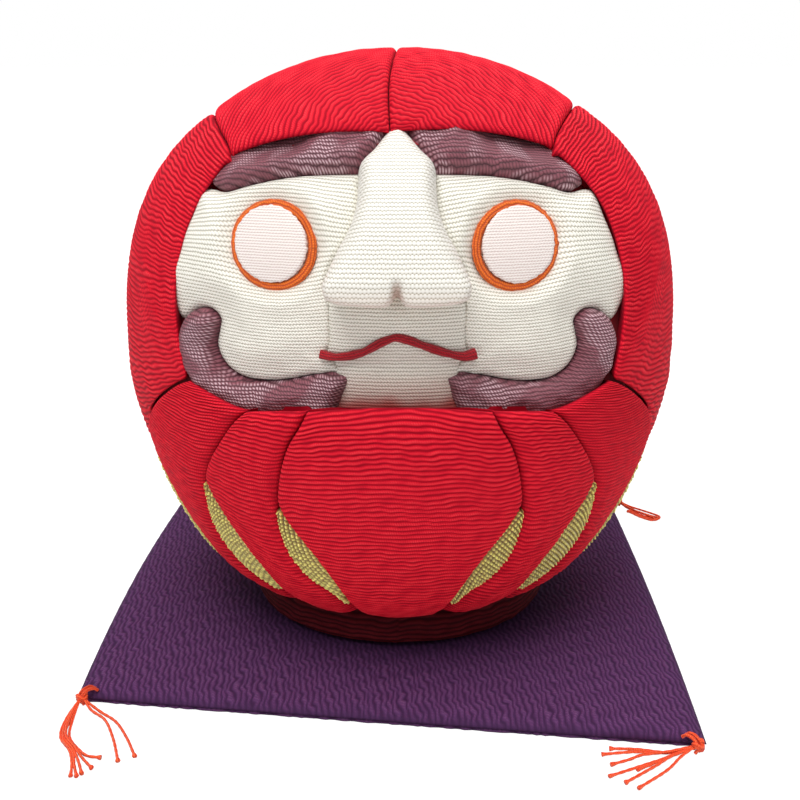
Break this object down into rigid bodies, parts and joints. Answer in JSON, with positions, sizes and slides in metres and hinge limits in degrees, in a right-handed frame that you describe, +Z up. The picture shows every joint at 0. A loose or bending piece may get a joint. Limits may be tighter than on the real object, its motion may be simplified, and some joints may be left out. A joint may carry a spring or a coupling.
{
  "type": "daruma doll",
  "caption": "Round daruma doll of padded red crepe over a grooved core, with a cream face, blank eyes and gold slivers, standing loose on a thin tasselled cushion.",
  "frame": {"origin": "on the cushion's underside, on the doll's own vertical axis, which is within 3 mm of the cushion's middle", "axes": "+Z up along the doll's axis; the doll faces -Y; +X is to the right of someone who looks at its face"},
  "size_m": [0.0985, 0.1242, 0.088],
  "materials": {
    "red_crepe": "matt crepe silk with fine ripples, padded",
    "cream_silk": "fine ribbed silk with a soft sheen",
    "white_cloth": "plain weave, matt, frayed at its cut edge",
    "orange_edge": "dyed cloth edge, matt",
    "mauve_crepe": "shiny crepe silk with pink lights, padded",
    "gold_brocade": "woven gold thread, beaded, half shiny",
    "red_cord": "twisted cord, soft sheen",
    "purple_crepe": "matt crepe with fine ripples",
    "wadding": "cotton wadding",
    "tassel_thread": "glossy twisted thread",
    "core": "moulded sawdust and paste, matt",
    "sole": "card, matt"
  },
  "bodies": {
    "cushion": {"cushion_under_cloth": "purple_crepe", "cushion_wadding": "wadding", "cushion_top_cloth": "purple_crepe"},
    "doll": {"body_core": "core", "sole_paper": "sole", "foot_ring": "red_crepe", "belly_panel_centre": "red_crepe", "chin_cloth": "cream_silk", "nose": "cream_silk", "mouth_cord": "red_cord", "belly_panel_inner_left": "red_crepe", "belly_panel_outer_left": "red_crepe", "side_panel_left": "red_crepe", "back_panel_left": "red_crepe", "gold_sliver_inner_left": "gold_brocade", "gold_sliver_outer_left": "gold_brocade", "gold_sliver_side_left": "gold_brocade", "cheek_cloth_left": "cream_silk", "eye_disc_left": "white_cloth", "eye_rim_left": "orange_edge", "eyebrow_left": "mauve_crepe", "moustache_left": "mauve_crepe", "belly_panel_inner_right": "red_crepe", "belly_panel_outer_right": "red_crepe", "side_panel_right": "red_crepe", "back_panel_right": "red_crepe", "gold_sliver_inner_right": "gold_brocade", "gold_sliver_outer_right": "gold_brocade", "gold_sliver_side_right": "gold_brocade", "cheek_cloth_right": "cream_silk", "eye_disc_right": "white_cloth", "eye_rim_right": "orange_edge", "eyebrow_right": "mauve_crepe", "moustache_right": "mauve_crepe"},
    "front_left_tassel": {"tassel_front_left": "tassel_thread"},
    "front_right_tassel": {"tassel_front_right": "tassel_thread"},
    "back_left_tassel": {"tassel_back_left": "tassel_thread"},
    "back_right_tassel": {"tassel_back_right": "tassel_thread"}
  },
  "joints": [
    {"name": "doll_lift", "type": "slide", "parent": "cushion", "child": "doll", "axis": [0, 0, 1], "range_m": [0, 0.06]},
    {"name": "tassel_swing_front_left", "type": "hinge", "parent": "cushion", "child": "front_left_tassel", "pos_m": [-0.0443, -0.0344, 0.0012], "axis": [0, 0, 1], "range_deg": [-60, 20]},
    {"name": "tassel_swing_front_right", "type": "hinge", "parent": "cushion", "child": "front_right_tassel", "pos_m": [0.0389, -0.047, 0.0012], "axis": [0, 0, 1], "range_deg": [-3, 75]},
    {"name": "tassel_swing_back_left", "type": "hinge", "parent": "cushion", "child": "back_left_tassel", "pos_m": [-0.0434, 0.0505, 0.0012], "axis": [0, 0, 1], "range_deg": [-40, 70]},
    {"name": "tassel_swing_back_right", "type": "hinge", "parent": "cushion", "child": "back_right_tassel", "pos_m": [0.0432, 0.0413, 0.0012], "axis": [0, 0, 1], "range_deg": [-30, 60]}
  ]
}
